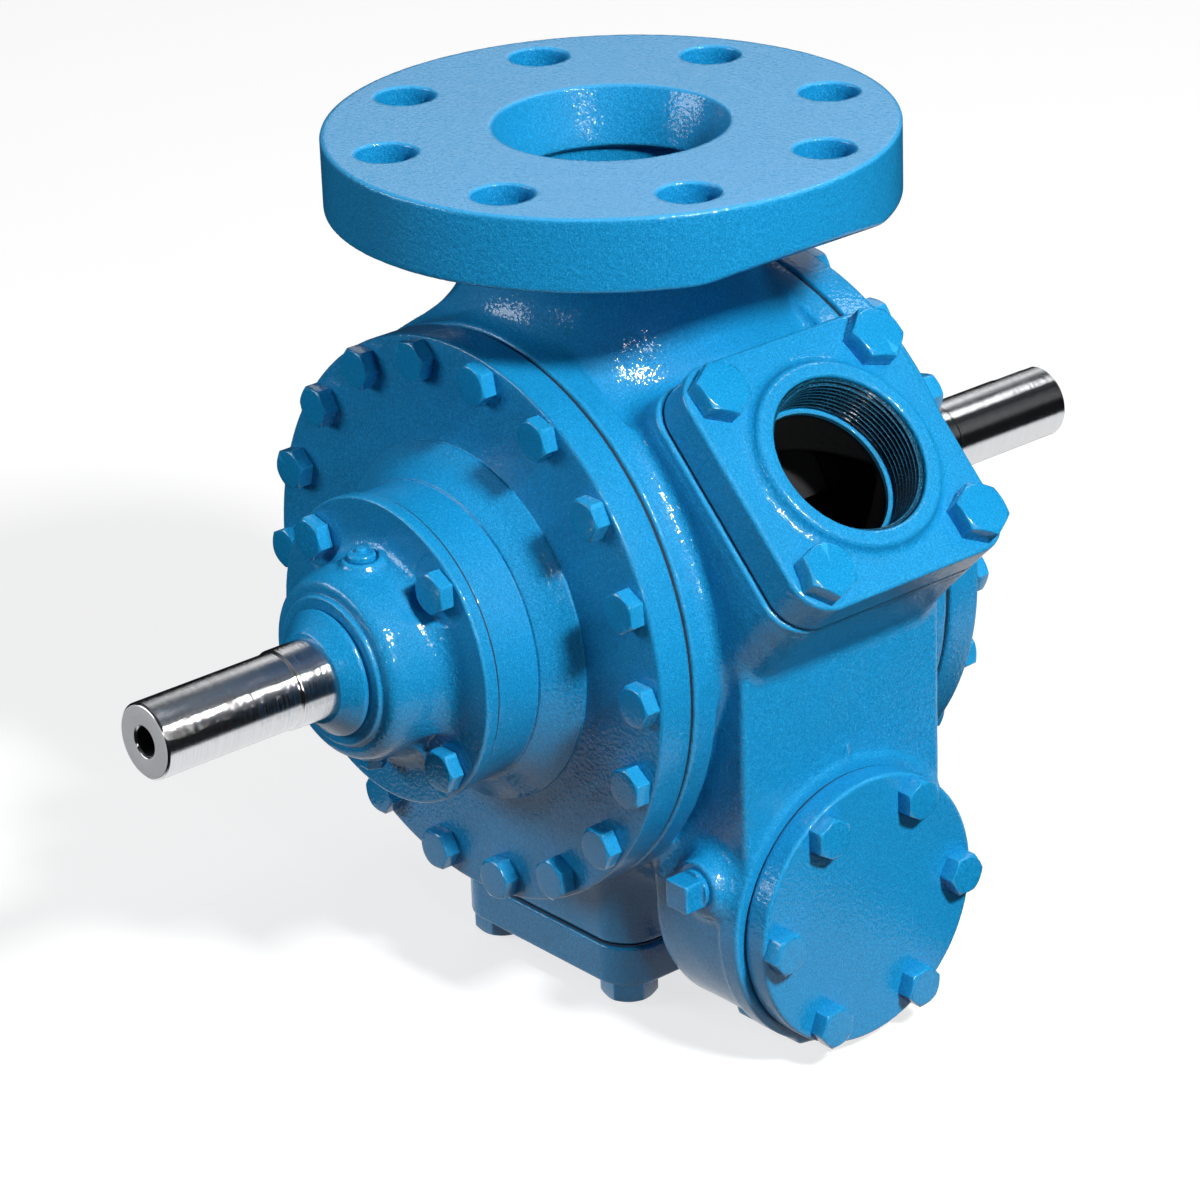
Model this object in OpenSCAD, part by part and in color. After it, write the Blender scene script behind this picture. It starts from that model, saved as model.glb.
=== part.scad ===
// Sliding vane pump, flange hung: top intake flange, 45 degree side discharge,
// bottom auxiliary port, built-in relief valve behind a round cover.
// Millimetres. Origin at the centre of the intake flange's upper face, +Z up,
// shaft along Y (near end -Y, far end +Y), discharge side towards +X.

/* [Intake flange] */
// Outside diameter of the intake flange (3 in class 300)
flange_d = 209.55; // [206:0.05:212]
// Thickness of the intake flange
flange_t = 27.1; // [24:0.1:29]
// Bolt circle of the intake flange
flange_pcd = 168.275; // [166:0.025:170]
// Diameter of the intake flange's bolt holes
flange_hole_d = 22.2; // [18:0.1:24]
// Number of intake flange bolt holes
flange_holes = 8; // [4:4:8]
// Diameter of the intake mouth at the flange face
mouth_d = 86; // [80:0.5:90]
// Diameter of the lip below the mouth's taper
lip_d = 73.2; // [70:0.1:76]
// Diameter of the intake passage behind the lip
throat_d = 80; // [76:0.5:82]

/* [Casing] */
// Drop from the flange face to the shaft axis
shaft_drop = 171.45; // [171:0.05:172]
// Length of the casing between its two heads
casing_l = 126.6; // [126.6:0.1:126.6]
// Diameter of the casing's end rims and of the heads
head_d = 216; // [214:0.5:218]
// Diameter of the casing barrel between the rims
barrel_d = 208; // [206:0.5:210]
// Diameter of the casing bore that holds the liner
bore_d = 164; // [164:0.1:164]
// Diameter of the neck under the flange
neck_d = 108; // [104:0.5:110]

/* [Heads and covers] */
// Thickness of the head's bolting flange
head_t = 15.3; // [14:0.1:15.5]
// Number of head bolts
head_bolts = 18; // [18:1:18]
// Bolt circle of the head bolts
head_pcd = 198.8; // [198:0.1:199.6]
// Diameter of the bearing boss on the head
boss_d = 113; // [111:0.5:114]
// Outer face of the bearing boss, measured from the casing's middle
boss_y = 109.5; // [109.5:0.1:109.5]
// Diameter of the bearing cover's plate
cover_d = 116; // [115:0.5:117]
// Bolt circle of the bearing cover bolts
cover_pcd = 98.1; // [97:0.1:99]

/* [Shaft] */
// Overall length of the shaft
shaft_l = 444.5; // [430:0.5:460]
// Diameter of the coupling ends of the shaft
shaft_d = 28.575; // [28.575:0.005:28.575]
// Width of the keyway in the far shaft end
keyway_w = 6.35; // [5:0.05:8]
// Length of the keyway in the far shaft end
keyway_l = 21.5; // [18:0.5:40]

/* [Rotor and vanes] */
// Rotor diameter
rotor_d = 130; // [129:0.1:130.6]
// Rotor length
rotor_l = 110; // [109:0.1:110]
// Diameter of the liner's inner bore
liner_bore_d = 144; // [144:0.1:144.4]
// Offset of the liner's bore from the shaft axis
liner_offset = 6; // [5.5:0.1:6]
// Number of vanes
vane_count = 6; // [6:1:6]
// Vane thickness
vane_t = 8; // [7:0.1:8]
// Radial height of a vane
vane_h = 26; // [24:0.5:26]

/* [Ports] */
// Half width of the square companion flanges
comp_half = 49.8; // [48:0.1:51]
// Corner radius of the companion flanges
comp_corner = 15; // [12:0.5:16]
// Thickness of the companion flanges
comp_t = 16.5; // [15:0.1:18]
// Bolt square of the companion flanges
comp_bolts = 73.9; // [72:0.1:75]
// Diameter of the threaded port, 2 in pipe thread
port_d = 60.3; // [59:0.1:61]
// Distance of the discharge flange face from the shaft axis
side_reach = 138.2; // [138.2:0.1:138.2]
// Shift of the discharge port down its 45 degree face
side_shift = 31.5; // [31:0.1:32]

/* [Relief valve] */
// Diameter of the relief valve cover
rv_cover_d = 104; // [103:0.5:106]
// Bolt circle of the relief valve cover
rv_pcd = 88.6; // [88:0.1:89.2]
// Drop from the flange face to the relief valve axis
rv_drop = 270.7; // [270.7:0.1:270.7]
// Lift of the relief valve
rv_lift = 8; // [5:0.5:8]

/* [Hidden] */
$fn = 96;

blue = [0.04, 0.47, 0.78];
steel = [0.75, 0.76, 0.78];
iron = [0.45, 0.46, 0.48];
brass_c = [0.78, 0.62, 0.30];
dark = [0.12, 0.12, 0.13];

casing_y = casing_l / 2;          // head joint plane, 63.3
head_y = casing_y + head_t;       // outer face of the head flange, 78.6
disc_y0 = rotor_l / 2 + 0.2;      // inner face of an end disc
liner_dir = 245;                  // direction of the liner's offset
af38 = 14.3;                      // across flats, 3/8 in hex head
af12 = 19;                        // across flats, 1/2 in hex head
ball_r = 6.72;
ball_pr = 28.75;
ball_y = 96.5;
pad_n = side_reach - comp_t - 0.8;      // discharge pad plane from the shaft axis
bot_face = -318.5;                      // bottom flange's lower face
bot_pad = bot_face + comp_t + 0.8;      // casing's bottom pad plane
rv_z = -rv_drop;
rv_pad = 118.5;                         // relief housing face
rv_in = 119.3;                          // inner face of the relief cover
rv_out = 129.5;                         // outer face of the relief cover
plug_x = 100;
plug_z = -252;

// ---- helpers ----
module at_shaft() translate([0, 0, -shaft_drop]) children();
module cyl_y(r, y0, y1) translate([0, y0, 0]) rotate([-90, 0, 0]) cylinder(r = r, h = y1 - y0);
module cyl_x(r, x0, x1) translate([x0, 0, 0]) rotate([0, 90, 0]) cylinder(r = r, h = x1 - x0);
module ring_y(ro, ri, y0, y1) difference() { cyl_y(ro, y0, y1); cyl_y(ri, y0 - 1, y1 + 1); }
module near() mirror([0, 1, 0]) children();
// solid of revolution about Y, points are [radius, y]
module turned_y(pts) rotate([-90, 0, 0]) rotate_extrude() polygon(pts);
// n copies on a circle about Y, first at angle a0 from +X
module around_y(n, r, a0 = 0) for (i = [0:n - 1]) let(a = a0 + i * 360 / n)
    translate([r * cos(a), 0, r * sin(a)]) children();
// hexagon bolt along +Z, head seat at z = 0
module hex_bolt(af, head_h, shank_r, shank_l) {
    cylinder(r = af / sqrt(3), h = head_h, $fn = 6);
    translate([0, 0, -shank_l]) cylinder(r = shank_r, h = shank_l + 1);
}
// square plate with round corners, z from z0 to z1
module round_plate(half, cr, z0, z1) {
    s = half - cr;
    translate([-half, -s, z0]) cube([2 * half, 2 * s, z1 - z0]);
    translate([-s, -half, z0]) cube([2 * s, 2 * half, z1 - z0]);
    for (a = [-1, 1], b = [-1, 1]) translate([a * s, b * s, z0]) cylinder(r = cr, h = z1 - z0);
}
// wedge in the XZ plane from angle a0 to a1, y0 to y1
module wedge_y(a0, a1, y0, y1) translate([0, y1, 0]) rotate([90, 0, 0])
    linear_extrude(height = y1 - y0)
    polygon([[0, 0], for (k = [0:4]) let(a = a0 + (a1 - a0) * k / 4) 130 * [cos(a), sin(a)]]);
module on_discharge() at_shaft() rotate([0, 45, 0]) translate([side_shift, 0, 0]) children();
module on_bottom() rotate([180, 0, 0]) children();
module on_relief() translate([0, 0, rv_z]) children();

// ---- casing and liner ----
module casing() color(blue) difference() {
    union() {
        translate([0, 0, -flange_t]) cylinder(d = flange_d, h = flange_t);
        translate([0, 0, -58]) cylinder(d = neck_d, h = 32);
        translate([0, 0, -84]) cylinder(r1 = neck_d / 2 + 15, r2 = neck_d / 2, h = 26);
        at_shaft() {
            cyl_y(barrel_d / 2, -casing_y + 1, casing_y - 1);
            cyl_y(head_d / 2, -casing_y, -casing_y + 14);
            cyl_y(head_d / 2, casing_y - 14, casing_y);
            // fuller wall round the intake gallery
            intersection() {
                cyl_y(110, -51, 51);
                translate([-120, -60, -120]) cube([120, 120, 240]);
            }
        }
        on_discharge() round_plate(comp_half + 1.5, comp_corner, 30, pad_n);
        translate([40, -48.6, -262]) cube([77.6, 97.2, 98]);
        on_relief() { cyl_x(53.5, 84, 111); cyl_x(55.5, 110, rv_pad); }
        on_relief() translate([0, 0, 4]) cyl_x(36, 10, 86);
        on_bottom() round_plate(comp_half, comp_corner, 235, -bot_pad);
        translate([plug_x, -58, plug_z]) rotate([-90, 0, 0]) cylinder(r = 11, h = 20);
        translate([82, -25.5, -322.5]) cube([36.4, 51, 22.5]);
    }
    // head seats, cover's spot face, bottom pad
    at_shaft() for (s = [-1, 1]) translate([-120, s > 0 ? casing_y : -casing_y - 40, -120]) cube([240, 40, 231]);
    on_relief() cyl_x(55.5, rv_pad, rv_pad + 10);
    translate([-60, -60, bot_pad - 40]) cube([111, 120, 40]);
    // relief under the flange on the discharge side
    translate([95, -60, -flange_t]) rotate([0, -29.3, 0]) translate([-6, 0, -20]) cube([40, 120, 20]);
    // flange bolt holes
    for (i = [0:flange_holes - 1]) rotate([0, 0, 180 / flange_holes + i * 360 / flange_holes])
        translate([flange_pcd / 2, 0, -flange_t - 5]) cylinder(d = flange_hole_d, h = flange_t + 10);
    // mouth, throat
    translate([0, 0, -21]) cylinder(d1 = lip_d, d2 = mouth_d, h = 21.001);
    translate([0, 0, -23.4]) cylinder(d1 = throat_d, d2 = lip_d, h = 2.41);
    translate([0, 0, -150]) cylinder(d = throat_d, h = 126.61);
    at_shaft() {
        cyl_y(bore_d / 2, -casing_y - 1, casing_y + 1);
        // intake gallery round the -X side
        intersection() {
            cyl_y(95, -38, 38);
            translate([-100, -50, -97]) cube([100, 100, 194]);
        }
        // discharge gallery
        translate([50, -36, -60]) cube([57, 72, 120]);
        // keyway for the liner key
        rotate([0, -55, 0]) translate([70, -30, -4]) cube([16, 60, 8]);
    }
    on_discharge() translate([0, 0, 70]) cylinder(r = 27, h = 60);
    on_discharge() for (a = [-1, 1], b = [-1, 1])
        translate([a * comp_bolts / 2, b * comp_bolts / 2, pad_n - 18]) cylinder(r = 6.3, h = 20);
    // bottom port
    translate([0, 0, bot_pad - 1]) cylinder(r = 27, h = 60);
    for (a = [-1, 1], b = [-1, 1])
        translate([a * comp_bolts / 2, b * comp_bolts / 2, bot_pad - 2]) cylinder(r = 6.3, h = 24);
    // relief passages: inlet pocket, seat, valve chamber, returns to the bottom port
    translate([42, -13, -284]) cube([18, 26, 56]);
    on_relief() {
        cyl_x(12.5, 58, 76);
        cyl_x(17, 68, 80);
        cyl_x(22, 75, 91);
        cyl_x(36, 90, rv_pad + 1);
        for (s = [-1, 1]) translate([0, s * 22.5, -1]) cyl_x(6, 8, 92);
        for (i = [0:5]) rotate([i * 60, 0, 0]) translate([0, rv_pcd / 2, 0]) cyl_x(4.75, rv_pad - 18, rv_pad + 1);
    }
    // head bolt holes
    at_shaft() for (s = [-1, 1]) around_y(head_bolts, head_pcd / 2)
        cyl_y(4.75, s > 0 ? casing_y - 19 : -casing_y - 1, s > 0 ? casing_y + 1 : -casing_y + 19);
    // plug hole
    translate([plug_x, -59, plug_z]) rotate([-90, 0, 0]) cylinder(r = 6.5, h = 32);
}

module liner() color(iron) at_shaft() difference() {
    cyl_y(bore_d / 2 - 0.05, -disc_y0, disc_y0);
    translate([liner_offset * cos(liner_dir), 0, liner_offset * sin(liner_dir)])
        cyl_y(liner_bore_d / 2, -disc_y0 - 1, disc_y0 + 1);
    // port slots with ribs between them
    for (k = [-2:1]) {
        wedge_y(98, 198, k * 19 + 2.5, k * 19 + 16.5);
        wedge_y(-57, 28, k * 19 + 2.5, k * 19 + 16.5);
    }
    rotate([0, -55, 0]) translate([78, -30, -4]) cube([10, 60, 8]);
}

module liner_key() color(steel) at_shaft() rotate([0, -55, 0]) translate([78, -30, -4]) cube([8, 60, 8]);

module end_disc() color(iron) at_shaft() ring_y(bore_d / 2 - 0.05, 21.6, disc_y0, casing_y);
module near_end_disc() near() end_disc();
module far_end_disc() end_disc();

// ---- heads ----
module head() color(blue) at_shaft() difference() {
    union() {
        cyl_y(head_d / 2, casing_y, head_y);
        turned_y([[0, head_y - 1], [68.3, head_y - 1], [68.3, head_y + 0.8], [65, head_y + 3.8], [62.2, head_y + 6.9],
            [59.6, head_y + 9.8], [57.4, head_y + 12.4], [boss_d / 2, head_y + 12.4], [boss_d / 2, boss_y], [0, boss_y]]);
    }
    cyl_y(32, casing_y - 1, 76);
    cyl_y(28, 75, 82);
    cyl_y(22.5, 81, 87);
    cyl_y(40, 86, boss_y + 1);
    turned_y([[86.5, casing_y - 1], [90, casing_y - 1], [90, casing_y + 2.5], [86.5, casing_y + 2.5]]);
    around_y(head_bolts, head_pcd / 2) cyl_y(5.2, casing_y - 1, head_y + 1);
    around_y(4, cover_pcd / 2, 45) cyl_y(4.75, boss_y - 16, boss_y + 1);
}
module near_head() near() head();
module far_head() head();

module head_oring() color(dark) at_shaft() translate([0, casing_y + 1.25, 0]) rotate([-90, 0, 0])
    rotate_extrude() translate([88.25, 0]) circle(r = 1.22, $fn = 32);
module near_head_oring() near() head_oring();
module far_head_oring() head_oring();

module head_bolt_set() color(blue) at_shaft() around_y(head_bolts, head_pcd / 2)
    translate([0, head_y, 0]) rotate([-90, 0, 0]) hex_bolt(af38, 6.1, 4.6, 32);
module near_head_bolts() near() head_bolt_set();
module far_head_bolts() head_bolt_set();

// ---- bearings ----
module bearing_outer() color(steel) at_shaft() difference() {
    ring_y(40, 34, 86, 107);
    translate([0, ball_y, 0]) rotate([-90, 0, 0]) rotate_extrude() translate([ball_pr, 0]) circle(r = 6.9);
}
module near_bearing_outer_race() near() bearing_outer();
module far_bearing_outer_race() bearing_outer();

module bearing_inner() color(steel) at_shaft() difference() {
    ring_y(23.5, 17.5, 86, 107);
    translate([0, ball_y, 0]) rotate([-90, 0, 0]) rotate_extrude() translate([ball_pr, 0]) circle(r = 6.9);
}
module near_bearing_inner_race() near() bearing_inner();
module far_bearing_inner_race() bearing_inner();

module ball_set() {
    color(steel) at_shaft() around_y(8, ball_pr) translate([0, ball_y, 0]) sphere(r = ball_r);
    color(brass_c) at_shaft() difference() {
        ring_y(30.4, 27.1, ball_y - 5, ball_y + 5);
        around_y(8, ball_pr) translate([0, ball_y, 0]) sphere(r = ball_r + 0.15);
    }
}
module near_ball_set() near() ball_set();
module far_ball_set() ball_set();

module lock_washer() color(steel) at_shaft() difference() {
    union() { cyl_y(21.5, 107, 108.3); for (i = [0:8]) rotate([0, i * 40, 0]) translate([20, 107, -2]) cube([4, 1.3, 4]); }
    cyl_y(17, 106, 109);
}
module near_lock_washer() near() lock_washer();
module far_lock_washer() lock_washer();

module locknut() color(steel) at_shaft() difference() {
    ring_y(23.5, 17, 108.3, 117);
    for (i = [0:3]) rotate([0, i * 90 + 10, 0]) translate([21, 108, -3]) cube([6, 10, 6]);
}
module near_locknut() near() locknut();
module far_locknut() locknut();

// ---- shaft seals ----
module seal_seat() color(dark) at_shaft() ring_y(28, 21.5, 76, 82);
module near_seal_seat() near() seal_seat();
module far_seal_seat() seal_seat();

module seal_ring() color(steel) at_shaft() difference() {
    turned_y([[20, 64], [29, 64], [29, 71], [27, 72], [27, 75.9], [20, 75.9]]);
    turned_y([[27.6, 66.5], [30, 66.5], [30, 68.5], [27.6, 68.5]]);
}
module near_seal_ring() near() seal_ring();
module far_seal_ring() seal_ring();

module grease_seal() color(dark) at_shaft() difference() {
    ring_y(21, 15.05, 127, 135.8);
    ring_y(19.5, 17, 126, 132);
}
module near_grease_seal() near() grease_seal();
module far_grease_seal() grease_seal();

// ---- bearing covers ----
module bearing_cover() color(blue) at_shaft() difference() {
    union() {
        turned_y([[0, 110.1], [cover_d / 2 - 0.6, 110.1], [cover_d / 2, 110.7], [cover_d / 2, 115], [cover_d / 2 - 0.8, 115.8],
            [46.5, 115.8], [42.8, 116.6], [40, 118.4], [38.2, 121.3], [37.2, 124.5], [36.4, 129.5], [35.6, 132.2],
            [33.9, 135.6], [31.4, 137.9], [28.6, 138.8], [28.2, 139.1], [28.2, 140.2], [27.6, 140.8], [0, 140.8]]);
        cyl_y(39.95, 107, 111);
        // bosses for the grease fitting and its vent
        for (s = [-1, 1]) translate([0, 123.5, 0]) cylinder_z(6.5, s);
    }
    cyl_y(30, 106, 118);
    cyl_y(21, 117, 135.9);
    cyl_y(16.3, 135, 142);
    around_y(4, cover_pcd / 2, 45) { cyl_y(4.9, 105, 118); cyl_y(13.2, 115.8, 125.5); }
    for (s = [-1, 1]) translate([0, 123.5, s > 0 ? 15 : -45]) cylinder(r = 3, h = 30);
    for (s = [-1, 1]) translate([0, 123.5, s > 0 ? 38.6 : -44.6]) cylinder(r = 6.6, h = 6);
}
// short radial boss, up for s = 1 and down for s = -1
module cylinder_z(r, s) translate([0, 0, s > 0 ? 22 : -38.6]) cylinder(r = r, h = 16.6);
module near_bearing_cover() near() bearing_cover();
module far_bearing_cover() bearing_cover();

module cover_gasket() color(dark) at_shaft() difference() {
    ring_y(cover_d / 2 - 1, 40, boss_y, 110.1);
    around_y(4, cover_pcd / 2, 45) cyl_y(4.9, 105, 118);
}
module near_cover_gasket() near() cover_gasket();
module far_cover_gasket() cover_gasket();

module cover_bolt_set() color(blue) at_shaft() around_y(4, cover_pcd / 2, 45)
    translate([0, 115.8, 0]) rotate([-90, 0, 0]) hex_bolt(af38, 5.8, 4.6, 20);
module near_cover_bolts() near() cover_bolt_set();
module far_cover_bolts() cover_bolt_set();

module grease_fitting_one() translate([0, 123.5, 38.6]) {
    translate([0, 0, -12]) cylinder(r = 2.9, h = 13);
    cylinder(r = 5.4, h = 1.6);
    translate([0, 0, 1.5]) cylinder(r1 = 5.4, r2 = 3.6, h = 1.4);
    translate([0, 0, 2.8]) cylinder(r1 = 2.3, r2 = 1.6, h = 2.2);
}
module grease_fittings() color(blue) at_shaft() { grease_fitting_one(); near() grease_fitting_one(); }
module grease_vent_one() translate([0, 123.5, -38.6]) {
    translate([0, 0, -1]) cylinder(r = 2.9, h = 13);
    translate([0, 0, -4.5]) cylinder(r = 5.2, h = 4.5, $fn = 6);
}
module grease_vents() color(blue) at_shaft() { grease_vent_one(); near() grease_vent_one(); }

module dirt_shield() color(blue) at_shaft()
    turned_y([[15, 141.2], [23.5, 141.2], [23.8, 142], [23.4, 143.2], [17, 149.2], [15, 149.3]]);
module near_dirt_shield() near() dirt_shield();
module far_dirt_shield() dirt_shield();

// ---- companion flanges, face up at z = 0 ----
module companion() difference() {
    union() {
        round_plate(comp_half, comp_corner, -comp_t, 0);
        translate([0, 0, -1]) cylinder(r1 = 38.6, r2 = 36.6, h = 5.5);
    }
    translate([0, 0, -comp_t - 1]) cylinder(d = port_d, h = comp_t + 7);
    for (a = [-1, 1], b = [-1, 1]) translate([a * comp_bolts / 2, b * comp_bolts / 2, -comp_t - 1])
        cylinder(r = 6.9, h = comp_t + 3);
}
module companion_gasket() difference() {
    round_plate(comp_half - 0.5, comp_corner, -comp_t - 0.8, -comp_t);
    translate([0, 0, -comp_t - 2]) cylinder(r = 30.4, h = 4);
    for (a = [-1, 1], b = [-1, 1]) translate([a * comp_bolts / 2, b * comp_bolts / 2, -comp_t - 2])
        cylinder(r = 6.9, h = 4);
}
module companion_bolts() for (a = [-1, 1], b = [-1, 1])
    translate([a * comp_bolts / 2, b * comp_bolts / 2, 0]) hex_bolt(af12, 8, 6.2, 33);
module discharge_flange() color(blue) on_discharge() translate([0, 0, side_reach]) companion();
module discharge_gasket() color(dark) on_discharge() translate([0, 0, side_reach]) companion_gasket();
module discharge_flange_bolts() color(blue) on_discharge() translate([0, 0, side_reach]) companion_bolts();
module bottom_flange() color(blue) on_bottom() translate([0, 0, -bot_face]) companion();
module bottom_gasket() color(dark) on_bottom() translate([0, 0, -bot_face]) companion_gasket();
module bottom_flange_bolts() color(blue) on_bottom() translate([0, 0, -bot_face]) companion_bolts();

// ---- relief valve ----
module relief_seat() color(brass_c) on_relief() difference() { cyl_x(17, 68, 75); cyl_x(12, 67, 76); }
module relief_valve() color(steel) on_relief() {
    cyl_x(17, 75, 80.5);
    cyl_x(6, 80, 112);
    difference() { cyl_x(11.4, 70, 76); cyl_x(8, 69, 74); }
}
// helical spring along X, flat pitch between x0 and x1
spring_x0 = 80.5 + 1.85;
spring_x1 = 108 - 1.85;
spring_n = 5;
spring_seg = 24;
spring_wire = 1.8;
spring_r = 11.8;
function ring_pt(t, k) = let(a = t * 360 * spring_n, b = k * 45,
    r = spring_r + spring_wire * cos(b))
    [spring_x0 + (spring_x1 - spring_x0) * t + spring_wire * sin(b), r * cos(a), r * sin(a)];
module relief_spring() color(steel) on_relief() {
    n = spring_n * spring_seg;
    polyhedron(points = [for (i = [0:n], k = [0:7]) ring_pt(i / n, k)],
        faces = concat([[for (k = [0:7]) k]], [[for (k = [7:-1:0]) n * 8 + k]],
            [for (i = [0:n - 1], k = [0:7]) [i * 8 + k, (i + 1) * 8 + k, (i + 1) * 8 + (k + 1) % 8, i * 8 + (k + 1) % 8]]));
}
module relief_cover() color(blue) on_relief() difference() {
    union() {
        cyl_x(rv_cover_d / 2, rv_in, rv_out - 0.8);
        translate([rv_out - 0.8, 0, 0]) rotate([0, 90, 0]) cylinder(r1 = rv_cover_d / 2, r2 = rv_cover_d / 2 - 0.8, h = 0.8);
        cyl_x(16, 108, rv_in + 1);
    }
    cyl_x(6.1, 107, 122);
    for (i = [0:5]) rotate([i * 60, 0, 0]) translate([0, rv_pcd / 2, 0]) cyl_x(5, rv_in - 1, rv_out + 1);
}
module relief_cover_gasket() color(dark) on_relief() difference() {
    cyl_x(rv_cover_d / 2 - 0.6, rv_pad, rv_in);
    cyl_x(36, rv_pad - 1, rv_in + 1);
    for (i = [0:5]) rotate([i * 60, 0, 0]) translate([0, rv_pcd / 2, 0]) cyl_x(5, rv_pad - 1, rv_in + 1);
}
module relief_cover_bolts() color(blue) on_relief() for (i = [0:5]) rotate([i * 60, 0, 0])
    translate([rv_out, rv_pcd / 2, 0]) rotate([0, 90, 0]) hex_bolt(af38, 6.6, 4.6, 26);
module housing_pipe_plug() color(blue) translate([plug_x, -58, plug_z]) {
    translate([0, -1, 0]) rotate([-90, 0, 0]) cylinder(r = 6.4, h = 16);
    translate([-5.6, -9.5, -5.6]) cube([11.2, 9, 11.2]);
}

// ---- rotor group ----
module rotor() color(iron) at_shaft() difference() {
    cyl_y(rotor_d / 2, -rotor_l / 2, rotor_l / 2);
    cyl_y(21, -rotor_l / 2 - 1, rotor_l / 2 + 1);
    for (i = [0:vane_count - 1]) rotate([0, -(20 + i * 360 / vane_count), 0])
        translate([27, -rotor_l / 2 - 1, -vane_t / 2 - 0.06]) cube([50, rotor_l + 2, vane_t + 0.12]);
    rotate([0, -50, 0]) translate([0, -40, -3]) cube([24, 80, 6]);
}
module shaft() color(steel) at_shaft() difference() {
    union() {
        turned_y([[0, -64], [21, -64], [21, 64], [0, 64]]);
        for (s = [0, 1]) mirror([0, s, 0]) turned_y([[0, 63], [20, 63], [20, 86], [17.5, 86], [17.5, 107], [17, 107], [17, 118],
            [15, 118], [15, 163.4], [shaft_d / 2, 164], [shaft_d / 2, shaft_l / 2 - 1], [shaft_d / 2 - 1, shaft_l / 2], [0, shaft_l / 2]]);
    }
    // keyway at the far end, centre holes
    rotate([0, -28, 0]) translate([-keyway_w / 2, shaft_l / 2 - keyway_l, shaft_d / 2 - 3.2]) cube([keyway_w, keyway_l + 1, 6]);
    for (s = [0, 1]) mirror([0, s, 0]) cyl_y(5.3, shaft_l / 2 - 22, shaft_l / 2 + 1);
    rotate([0, -50, 0]) translate([18, -40, -3]) cube([6, 80, 6]);
}
module rotor_key() color(steel) at_shaft() rotate([0, -50, 0]) translate([18, -40, -3]) cube([6, 80, 6]);

module vane(i) color(dark) at_shaft() rotate([0, -(20 + (i - 1) * 360 / vane_count), 0]) intersection() {
    translate([rotor_d / 2 + 0.6 - vane_h, -rotor_l / 2 + 0.1, -vane_t / 2]) cube([vane_h + 2, rotor_l - 0.2, vane_t]);
    cyl_y(rotor_d / 2 + 0.6, -rotor_l / 2, rotor_l / 2);
}
module vane_1() vane(1);
module vane_2() vane(2);
module vane_3() vane(3);
module vane_4() vane(4);
module vane_5() vane(5);
module vane_6() vane(6);

casing();
liner();
liner_key();
near_end_disc();
far_end_disc();
near_head();
far_head();
near_head_oring();
far_head_oring();
near_head_bolts();
far_head_bolts();
near_bearing_outer_race();
far_bearing_outer_race();
near_seal_seat();
far_seal_seat();
near_bearing_cover();
far_bearing_cover();
near_cover_gasket();
far_cover_gasket();
near_cover_bolts();
far_cover_bolts();
near_grease_seal();
far_grease_seal();
grease_fittings();
grease_vents();
discharge_flange();
discharge_gasket();
discharge_flange_bolts();
bottom_flange();
bottom_gasket();
bottom_flange_bolts();
relief_seat();
relief_spring();
relief_cover();
relief_cover_gasket();
relief_cover_bolts();
housing_pipe_plug();
rotor();
shaft();
rotor_key();
near_bearing_inner_race();
far_bearing_inner_race();
near_lock_washer();
far_lock_washer();
near_locknut();
far_locknut();
near_seal_ring();
far_seal_ring();
near_dirt_shield();
far_dirt_shield();
vane_1();
vane_2();
vane_3();
vane_4();
vane_5();
vane_6();
near_ball_set();
far_ball_set();
relief_valve();
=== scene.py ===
import bpy
import bmesh
import math
import numpy as np
from mathutils import Matrix, Vector


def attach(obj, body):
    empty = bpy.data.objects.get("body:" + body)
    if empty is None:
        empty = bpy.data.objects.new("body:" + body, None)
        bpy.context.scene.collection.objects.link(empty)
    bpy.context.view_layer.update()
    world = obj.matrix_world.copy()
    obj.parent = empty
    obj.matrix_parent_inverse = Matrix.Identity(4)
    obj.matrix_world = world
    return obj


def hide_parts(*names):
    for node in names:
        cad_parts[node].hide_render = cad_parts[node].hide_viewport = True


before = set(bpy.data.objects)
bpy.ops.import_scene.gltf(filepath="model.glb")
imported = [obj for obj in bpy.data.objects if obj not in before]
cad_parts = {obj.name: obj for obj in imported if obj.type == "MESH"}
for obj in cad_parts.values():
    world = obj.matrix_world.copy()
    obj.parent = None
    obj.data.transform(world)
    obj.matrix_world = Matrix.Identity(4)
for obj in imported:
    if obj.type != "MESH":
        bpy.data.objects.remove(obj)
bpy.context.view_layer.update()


MM = 0.001
Z0 = -171.45          # shaft axis height, mm
S2 = math.sqrt(0.5)

# ------------------------------------------------------------------ camera
YAW, EL, ROLL = 0.868724, 0.420473, -0.036637
CAM = (1.231705, -1.055055, 0.537099)
F_PX = 4731.1


def camera():
    back = np.array([math.sin(YAW) * math.cos(EL), -math.cos(YAW) * math.cos(EL), math.sin(EL)])
    right = np.array([math.cos(YAW), math.sin(YAW), 0.0])
    up = np.cross(back, right)
    c, s = math.cos(ROLL), math.sin(ROLL)
    r2, u2 = c * right + s * up, -s * right + c * up
    cam = bpy.data.cameras.new("camera")
    o = bpy.data.objects.new("camera", cam)
    bpy.context.scene.collection.objects.link(o)
    m = Matrix.Identity(4)
    for i in range(3):
        m[i][0], m[i][1], m[i][2], m[i][3] = r2[i], u2[i], back[i], CAM[i]
    o.matrix_world = m
    cam.sensor_fit = "HORIZONTAL"
    cam.sensor_width = 36.0
    cam.lens = F_PX / 1200.0 * 36.0
    cam.clip_start, cam.clip_end = 0.05, 60.0
    bpy.context.scene.camera = o
    return o


camera()


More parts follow.
